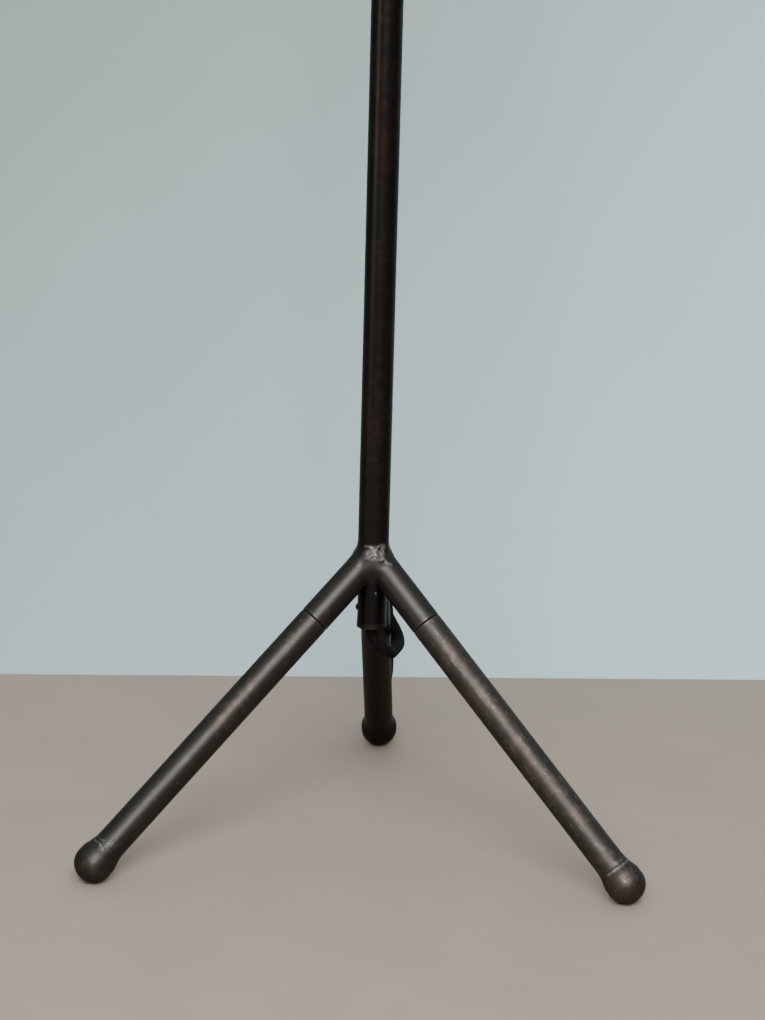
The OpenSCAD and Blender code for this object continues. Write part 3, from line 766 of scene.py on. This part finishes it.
class LAMP_OT_steel(bpy.types.Operator):
    """Gives the tubes, the balls and the turned pieces their patina"""
    bl_idname = "lamp.steel"
    bl_label = "Steel"

    def execute(self, context):
        # The pole's patina is darkened to half as painted shade: a painted reflection of a dark
        # floor in front of it
        cover(["pole", "seating_cap"], patina("pole_patina", UP, shade=0.5, brown=0.6,
                                              speckle=0.3, matt=0.3))
        for side in SIDES:
            axis = LEG_AXIS[side]
            cover([f"stub_{side}"], patina(f"stub_patina_{side}", axis, [SEAM], *STUB_LOOK))
            cover([f"leg_{side}", f"foot_ball_{side}"],
                  patina(f"leg_patina_{side}", axis, [SEAM], *LEG_LOOK[side]))
        plated = plain_metal("zinc_plate", (0.5, 0.49, 0.47), 0.32)
        cover([f"{node}_{side}" for node in ("stub_insert", "leg_stud") for side in SIDES], plated)
        cover(["collar_spigot", "pole_bush", "terminal_screws", "plug_grip_screws",
               "plug_cover_screw"], plated)
        return {"FINISHED"}


class LAMP_OT_hub(bpy.types.Operator):
    """Models the braze that lets the pole and the stubs flow into one hub"""
    bl_idname = "lamp.hub"
    bl_label = "Hub braze"

    # The skin's tubes: each one's axis, start and end from the hub's centre, and their radius,
    # which is a little less than the steel's
    tubes = [(UP, -POLE_FOOT, 19 * MM), *((axis, 0, 28 * MM) for axis in LEG_AXIS.values())]
    skin_r = TUBE_R - 0.14 * MM
    # Runs of braze in the gap between two stubs, brushed bright and partly painted highlight; the
    # last run is a painted highlight that carries a stub's highlight up into the braze: strength,
    # half width, and points across and up from the hub's centre, in mm
    runs = ((0.62, 1.1, ((-4.6, 7.2), (-2, 7.5), (0.2, 6.1), (1.6, 3.8))),
            (0.55, 1.2, ((-5, 1.2), (-2.8, 0.5), (-0.8, 2.7), (1.2, 3.4), (3.2, 2.4), (4.8, 0.2))),
            (0.65, 1.0, ((3.4, 7.4), (5.4, 8.8), (6.6, 8.2))),
            (1.2, 1.8, ((6.2, 7.2), (5.8, 4.3), (6.2, 0.5))),
            (0.6, 1.1, ((6.8, 0.5), (9.2, -1.9), (11.8, -2.9))),
            (0.42, 2.4, ((-4.2, 4), (-5.8, 0.6), (-8.5, -3.4))))
    # The rough patch around them: its middle, and how far it reaches across and up, in mm
    patch_middle, patch_reach = (1.4, 3.2), (6.2, 4)

    def execute(self, context):
        look = context.scene.lamp_braze
        bm = bmesh.new()
        for tube in self.tubes:
            rod(bm, HUB, *tube, self.skin_r)
        mesh, places = settled("hub_skin", bm, self.depth)
        bright, rough = self.masks(places)
        lumps = noise_at(places, 1.5 * MM)
        move_out(mesh, look.ridge * bright * (0.7 + 0.3 * lumps) + look.lump * rough * lumps)
        dull = rough * (0.1 + 0.3 * ease(lumps, -0.5, 0.5))
        mark(mesh, "braze", np.maximum(0.85 * bright, dull))
        # Painted shade above the hub: the skin darkens to the pole's patina, which also dims the
        # highlight in the fillet
        finish = patina("hub_patina", UP, (), *STUB_LOOK, braze=True, upper=0.5)
        link("hub_skin", mesh, "stand", "braze", finish, "hub_braze")
        return {"FINISHED"}

    def depth(self, places):
        """How far places lie outside the pole and the stubs, which flow together. The fillet is
        widest in the gaps between the stubs, most of all in the front one."""
        depths = [tube_depth(places, HUB, *tube, self.skin_r) for tube in self.tubes]
        look = bpy.context.scene.lamp_braze
        local = (places - np.array(HUB)) / MM
        third = np.cos(3 * (polar(local)[1] + math.pi / 2))
        gap = ease(third, -1, 1) * ease(local[:, 2], -18, -4) * ease(local[:, 2], 10, 2)
        gap *= 0.3 + 0.7 * ease(local[:, 1], 0, -6)
        return flowing(depths, look.hub_fillet + (look.gap_fillet - look.hub_fillet) * gap)

    def masks(self, places):
        """How bright and how rough the braze is at each place. The brightness is brushed braze and
        partly painted highlight.
        """
        bright = np.zeros(len(places))
        rough = np.zeros(len(places))
        local = (places - np.array(HUB)) / MM
        wander = 0.4 * np.stack([noise_at(places, 2.5 * MM, 3), noise_at(places, 2.5 * MM, 8)], 1)
        # The same runs lie in each gap, and are mirrored in one
        for turn, flip in ((0, 1), (120, -1), (240, 1)):
            away = math.radians(-turn)
            across = flip * (local[:, 0] * math.cos(away) - local[:, 1] * math.sin(away))
            back = local[:, 0] * math.sin(away) + local[:, 1] * math.cos(away)
            facing = ease(back, -1, -4)
            points = np.stack([across, local[:, 2]], 1) + wander
            for strength, width, run in self.runs:
                near = ease(line_distance(points, run), width, 0.2 * width)
                bright = np.maximum(bright, strength * facing * near)
            part = np.hypot(*((points - self.patch_middle) / self.patch_reach).T)
            rough = np.maximum(rough, facing * ease(part, 1.1, 0.6))
        return bright, rough


class LAMP_OT_feet(bpy.types.Operator):
    """Models the braze that lets each leg flow into its ball"""
    bl_idname = "lamp.feet"
    bl_label = "Foot braze"

    # How far the skin lies inside the steel, and how far it runs up the leg
    sunk = 0.12 * MM
    leg_run = 24 * MM
    # How far the runs of braze around each leg wander, and the seed of that, and for each run its
    # distance from the ball's centre in mm, the middle and half of its sector in degrees, and its
    # strength. Their brightness is brushed braze and partly painted glint on the ridges, set in
    # the sectors where the light falls
    runs = {"left": (1.0, 9, ((10.2, -10, 50, 0.7), (13, -4, 34, 0.55))),
            "right": (0.4, 10, ((9.6, 34, 62, 1.0), (12.4, 14, 40, 0.45))),
            "rear": (0.8, 9, ((9.9, 0, 52, 0.5), (13, 0, 34, 0.4)))}

    def execute(self, context):
        look = context.scene.lamp_braze
        for number, side in enumerate(SIDES):
            axis = LEG_AXIS[side]
            ball = HUB + axis * LEG_L
            bm = bmesh.new()
            rod(bm, ball, axis, -self.leg_run, -2 * MM, TUBE_R - self.sunk)
            bmesh.ops.create_icosphere(bm, subdivisions=4, radius=BALL_R - self.sunk,
                                       matrix=Matrix.Translation(ball))
            mesh, places = settled(f"foot_skin_{side}", bm,
                                   lambda places: self.depth(places, ball, axis))
            bright, rough = self.masks(places, ball, axis, self.runs[side])
            lumps = noise_at(places, 2.2 * MM, number)
            move_out(mesh, look.ridge * 0.8 * bright * (0.9 + 0.25 * lumps)
                     + look.lump * rough * lumps)
            mark(mesh, "braze", bright * (0.4 + 0.35 * ease(lumps, -0.4, 0.4)))
            finish = patina(f"foot_patina_{side}", axis, (), *LEG_LOOK[side], braze=True)
            link(f"foot_skin_{side}", mesh, f"leg_{side}", "braze", finish, f"foot_braze_{side}")
        return {"FINISHED"}

    def depth(self, places, ball, axis):
        """How far places lie outside the leg and its ball, which flow together, and which are
        cut off just above the ball's centre."""
        leg_end, cut = 7 * MM, 1 * MM
        leg = tube_depth(places, ball, axis, -self.leg_run, -leg_end, TUBE_R - self.sunk)
        round_part = np.linalg.norm(places - np.array(ball), axis=1) - (BALL_R - self.sunk)
        whole = flowing([leg, round_part], bpy.context.scene.lamp_braze.foot_fillet)
        return np.maximum(whole, (places - np.array(ball)) @ np.array(axis) + cut)

    def masks(self, places, ball, axis, braze):
        """How bright and how rough the braze is at each place: only on the upper side. The
        brightness is brushed braze and partly painted glint.
        """
        offset = (places - np.array(ball)) / MM
        upper = (UP - axis * axis.dot(UP)).normalized()
        side = axis.cross(upper)
        turn = np.degrees(np.arctan2(offset @ np.array(side), offset @ np.array(upper)))
        wander, seed, runs = braze
        along = -(offset @ np.array(axis)) + wander * noise_at(places, 3.4 * MM, seed)
        bright = np.zeros(len(places))
        for spot, middle, sector, strength in runs:
            near = strength * ease(np.abs(along - spot), 1.1, 0.2)
            bright = np.maximum(bright, near * ease(np.abs(turn - middle), sector, sector - 12))
        rough = ease(np.abs(along - 12), 5, 3) * ease(np.abs(turn), 58, 38)
        return bright, rough


class LAMP_OT_collar(bpy.types.Operator):
    """Finishes the cord collar, its lip and its grip, and models its two screws"""
    bl_idname = "lamp.collar"
    bl_label = "Cord collar"

    # Each screw's direction and height above the collar's mouth
    screws = ((-72, 22.4 * MM), (180, 12 * MM))

    def execute(self, context):
        cover(["cord_collar"], patina("collar_wax", UP, shade=0.46, brown=0.1, speckle=0.2,
                                      matt=0.3))
        cover(["collar_lip"], patina("collar_lip", UP, shade=0.72, brown=0.1, speckle=0.2))
        cover(["cord_grip", "plug_cord_grip"], moulded("nylon", (0.66, 0.63, 0.56), 0.45))
        cover(["flex_in_pole"], moulded("inner_sheath", (0.02, 0.02, 0.02), 0.7))
        cover(["flex_cores"], moulded("core_insulation", (0.24, 0.13, 0.06), 0.45))
        head_h = -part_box("collar_screws")[0].x - COLLAR_R
        bm = bmesh.new()
        for turn, up in self.screws:
            self.screw(bm, turn, up, head_h)
        finish = patina("screw_patina", UP, shade=0.8, brown=0.3, speckle=1.0, matt=0.3)
        link("collar_screw_pair", mesh_of("collar_screws", bm), "stand", "plated_steel", finish,
             "collar_screws")
        return {"FINISHED"}

    def screw(self, bm, turn, up, head_h):
        """A domed screw with a slot, whose tip points at the flex."""
        head_r, shank_r, shank_l = 1.9 * MM, 1.4 * MM, 4 * MM
        sunk = 0.05 * MM
        half_slot, slot_depth = 0.3 * MM, 0.45 * MM
        dome = [(head_r * math.cos(math.radians(a)), head_h * (0.35 + 0.65 * math.sin(
            math.radians(a)))) for a in range(0, 90, 10)]
        own = turned([(0, -shank_l), (shank_r, -shank_l), (shank_r, -sunk), (head_r, -sunk)]
                     + dome + [(0, head_h)], 40)
        for side in (-1, 1):
            bmesh.ops.bisect_plane(own, geom=own.verts[:] + own.edges[:] + own.faces[:], dist=1e-7,
                                   plane_co=(side * half_slot, 0, 0), plane_no=(1, 0, 0))
        slot = [face for face in own.faces if abs(face.calc_center_median().x) < half_slot
                and face.calc_center_median().z > 0 and face.normal.z > 0.3]
        drawn_out(own, slot, (0, 0, -slot_depth))
        bmesh.ops.delete(own, geom=slot, context="FACES_ONLY")
        way = Vector((math.cos(math.radians(turn)), math.sin(math.radians(turn)), 0))
        seat = MOUTH + UP * up + way * COLLAR_R
        bmesh.ops.transform(own, verts=own.verts, matrix=along_axis(seat, way) @
                            Matrix.Rotation(math.radians(35), 4, "Z"))
        loose = bpy.data.meshes.new("screw")
        own.to_mesh(loose)
        own.free()
        bm.from_mesh(loose)
        bpy.data.meshes.remove(loose)


# ---- Lampholder and plug

def rolled(mesh, low, high, pitch, depth, inner):
    """Rolls a round helical thread into a turned mesh between two heights, inwards by up to
    its depth, wherever the mesh's radius is more than inner."""
    places = vectors(mesh.vertices, "co")
    radius, turn = polar(places)
    height = places[:, 2]
    fade = ease(height, low, low + pitch / 2) * ease(height, high, high - pitch / 2)
    cut = depth / 2 * (1 + np.cos(2 * math.pi * height / pitch - turn))
    cut = cut * fade * (radius > inner)
    places[:, :2] *= (1 - cut / np.maximum(radius, MM))[:, None]
    put_points(mesh, places)


def rows(radius, low, high, step=0.4 * MM):
    """Outline points up or down a straight wall, close enough together to take a thread."""
    count = max(2, round(abs(high - low) / step))
    return [(radius, low + (high - low) * i / count) for i in range(count + 1)]


class LAMP_OT_lampholder(bpy.types.Operator):
    """Finishes the lampholder and models its rolled threads and its ribbed shade ring"""
    bl_idname = "lamp.lampholder"
    bl_label = "Lampholder"

    def execute(self, context):
        bakelite = moulded("bakelite", (0.014, 0.0125, 0.0115), 0.2, 0.3)
        brass = plain_metal("turned_brass", (0.62, 0.45, 0.2), 0.26)
        cover(["holder_cup", "switch_bar"], bakelite)
        cover(["holder_core"], moulded("porcelain", (0.72, 0.7, 0.64), 0.28, 0.4))
        cover(["nipple", "lock_nut", "centre_contact", "terminals"], brass)
        self.skirt(bakelite)
        self.ring(bakelite)
        self.shell(brass)
        return {"FINISHED"}

    def skirt(self, finish):
        """The skirt with its flange, and the thread that the shade ring runs on."""
        low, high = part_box("holder_skirt")
        wall = 1.2 * MM
        outer = high.x - 5 * MM
        fillet, soft = 0.6 * MM, 0.3 * MM
        flange = low.z + 10 * MM
        flange_top = flange + 1.5 * MM
        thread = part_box("shade_ring")[1].z - 5 * MM
        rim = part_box("screw_shell")[1].x + 0.2 * MM
        mesh = mesh_of("skirt", turned(
            [(outer - wall, low.z), (outer, low.z), (outer, flange - fillet),
             (outer + fillet, flange), (high.x - soft, flange), (high.x, flange + soft),
             (high.x, flange_top - soft), (high.x - soft, flange_top), (outer, flange_top)]
            + rows(outer, thread, high.z - wall)
            + [(outer - 0.25 * MM, high.z - 0.4 * MM), (outer - 0.8 * MM, high.z),
               (rim, high.z), (rim, high.z - wall), (outer - wall, high.z - wall)], 120))
        rolled(mesh, thread + 1 * MM, high.z - 1.6 * MM, pitch=2.5 * MM, depth=0.7 * MM,
               inner=outer - 0.4 * MM)
        link("skirt", mesh, "stand", "black_plastic", finish, "holder_skirt")

    def ring(self, finish):
        """The shade ring, with ribs for the fingers around its rim."""
        low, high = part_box("shade_ring")
        rim_w, soft = 6.92 * MM, 0.4 * MM
        bore = -low.x - rim_w
        ribs, rib_depth = 30, 0.6 * MM
        rim_top, neck = low.z + 2.6 * MM, bore + 2.3 * MM
        mesh = mesh_of("ring", turned(
            [(bore, low.z), (high.x - soft, low.z), (high.x, low.z + soft),
             (high.x, rim_top - soft), (high.x - soft, rim_top),
             (neck + 0.6 * MM, rim_top + soft), (neck, rim_top + 1 * MM), (neck, high.z - soft),
             (neck - soft, high.z), (bore, high.z)], 8 * ribs))
        places = vectors(mesh.vertices, "co")
        radius, turn = polar(places)
        groove = ease(np.cos(ribs * turn), 0.3, 0.9) * rib_depth * (radius > high.x - 0.5 * MM)
        places[:, :2] *= (1 - groove / radius)[:, None]
        put_points(mesh, places)
        link("ribbed_ring", mesh, "shade_ring", "black_plastic", finish, "shade_ring")

    def shell(self, finish):
        """The rolled brass shell that takes the lamp's cap."""
        low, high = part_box("screw_shell")
        wall = 0.6 * MM
        inner = high.x - wall
        hole = inner - 3.4 * MM
        mouth = high.z - 0.4 * MM
        mesh = mesh_of("shell", turned(
            [(hole, low.z), (high.x - 0.8 * MM, low.z)]
            + rows(high.x, low.z + 0.8 * MM, mouth)
            + [(high.x - 0.1 * MM, high.z), (inner + 0.1 * MM, high.z)]
            + rows(inner, mouth, low.z + 1.2 * MM)
            + [(inner - wall, low.z + wall), (hole, low.z + wall)], 96))
        rolled(mesh, low.z + 1 * MM, high.z - 0.5 * MM, pitch=3.62 * MM, depth=1.1 * MM,
               inner=inner - 0.2 * MM)
        link("rolled_shell", mesh, "stand", "brass", finish, "screw_shell")


class LAMP_OT_plug(bpy.types.Operator):
    """Models the mains plug's case and lid, and finishes its pins"""
    bl_idname = "lamp.plug"
    bl_label = "Plug"

    def execute(self, context):
        plastic = moulded("plug_plastic", (0.014, 0.014, 0.0145), 0.4, 0.1)
        self.half("plug_case", "plug_cover", plastic, 2.2 * MM, 0.3 * MM)
        self.half("plug_lid", "plug_base", plastic, 0.3 * MM, 0.9 * MM)
        cover(["earth_pin", "line_pin", "neutral_pin"],
              plain_metal("pin_brass", (0.66, 0.5, 0.24), 0.24))
        cover(["plug_fuse"], moulded("fuse_ceramic", (0.68, 0.66, 0.58), 0.4))
        return {"FINISHED"}

    def half(self, name, node, finish, low_round, high_round):
        """One moulded half of the plug, with its lower and upper edges rounded."""
        low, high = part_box(node)
        middle = (low.y + high.y) / 2
        # Each end's corner radius, its half width, and its corners' place along X
        small, large = 8 * MM, 14 * MM
        narrow = (small, 19 * MM, low.x + small)
        wide = (large, (high.y - low.y) / 2, high.x - large)
        loop = []
        for (radius, half_w, x), side, first in ((narrow, -1, 180), (wide, -1, 270),
                                                 (wide, 1, 0), (narrow, 1, 90)):
            loop += arc(x, middle + side * (half_w - radius), radius, first, 8)
        bm = bmesh.new()
        base = bm.faces.new([bm.verts.new((x, y, low.z)) for x, y in loop])
        drawn_out(bm, [base], (0, 0, high.z - low.z))
        for height, size in ((low.z, low_round), (high.z, high_round)):
            rim = [e for e in bm.edges if all(abs(v.co.z - height) < 1e-6 for v in e.verts)]
            bmesh.ops.bevel(bm, geom=rim, offset=size, segments=4, profile=0.5, affect="EDGES",
                            material=-1)
        mesh = mesh_of(name, bm)
        link(name, mesh, "stand", "black_plastic", finish, node)
        mesh.set_sharp_from_angle(angle=math.radians(50))


# ---- Panel and registration

class LAMP_PT_panel(bpy.types.Panel):
    """Lists the operators and the sizes of the lamp stand"""
    bl_idname = "LAMP_PT_panel"
    bl_label = "Lamp stand"
    bl_space_type = "VIEW_3D"
    bl_region_type = "UI"
    bl_category = "Lamp stand"

    def draw(self, context):
        for group in SETTINGS:
            box = self.layout.box()
            settings = getattr(context.scene, group)
            for name in settings.__annotations__:
                box.prop(settings, name)
        for operator in OPERATORS:
            self.layout.operator(operator.bl_idname)


SETTINGS = {"lamp_steel": SteelSettings, "lamp_braze": BrazeSettings,
            "lamp_flex": FlexSettings, "lamp_stage": StageSettings}
OPERATORS = (LAMP_OT_stage, LAMP_OT_plug, LAMP_OT_flex, LAMP_OT_steel, LAMP_OT_hub,
             LAMP_OT_feet, LAMP_OT_collar, LAMP_OT_lampholder)


def register():
    for name, group in SETTINGS.items():
        bpy.utils.register_class(group)
        setattr(bpy.types.Scene, name, PointerProperty(type=group))
    for shown in (*OPERATORS, LAMP_PT_panel):
        bpy.utils.register_class(shown)


def unregister():
    for shown in (LAMP_PT_panel, *OPERATORS):
        bpy.utils.unregister_class(shown)
    for name, group in SETTINGS.items():
        delattr(bpy.types.Scene, name)
        bpy.utils.unregister_class(group)


def main():
    register()
    bpy.ops.lamp.stage()
    bpy.ops.lamp.plug()
    bpy.ops.lamp.flex()
    bpy.ops.lamp.steel()
    bpy.ops.lamp.hub()
    bpy.ops.lamp.feet()
    bpy.ops.lamp.collar()
    bpy.ops.lamp.lampholder()


if __name__ == "__main__":
    main()
